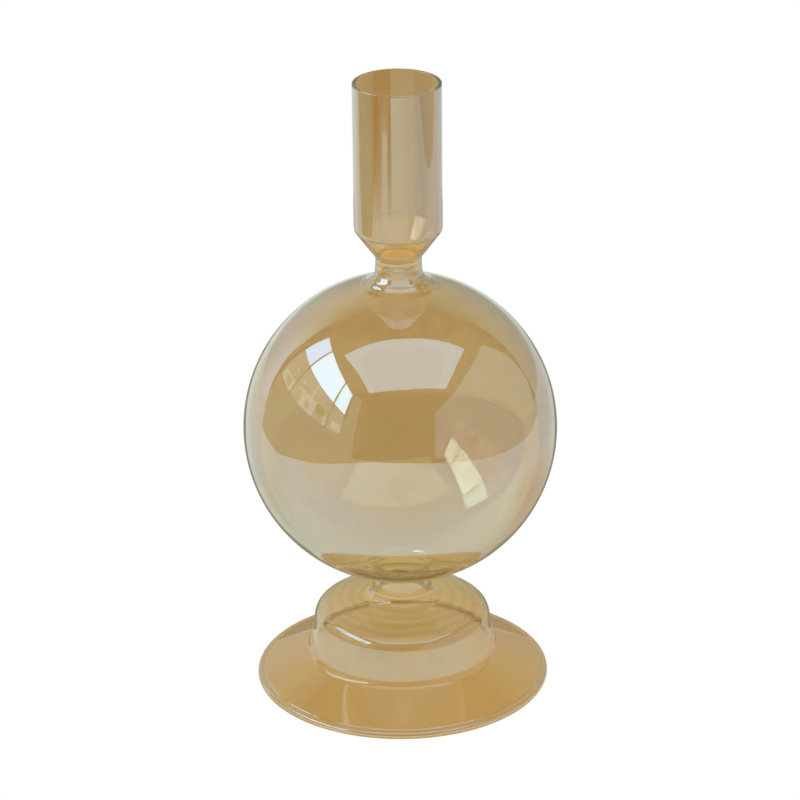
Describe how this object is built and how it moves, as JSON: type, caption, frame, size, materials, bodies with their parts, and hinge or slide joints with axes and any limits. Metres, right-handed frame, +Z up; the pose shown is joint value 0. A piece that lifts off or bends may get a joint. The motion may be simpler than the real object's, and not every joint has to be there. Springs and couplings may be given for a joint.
{
  "type": "candlestick",
  "caption": "Amber glass candlestick: a straight candle cup over a large hollow ball, on a domed foot with a wide flange and a rolled rim.",
  "frame": {"origin": "middle of the foot's ring, on the table", "axes": "+Z up along the candlestick's own axis; it is round, so +X (right) and +Y (back) are only a view's directions"},
  "size_m": [0.0942, 0.0942, 0.191],
  "materials": {
    "amber_glass": "clear, fire-polished, thin amber lustre coat"
  },
  "bodies": {
    "root": {"candle_cup": "amber_glass", "neck": "amber_glass", "bulb": "amber_glass", "stem": "amber_glass", "foot_drum": "amber_glass", "foot_flange": "amber_glass", "foot_rim": "amber_glass"}
  },
  "joints": []
}
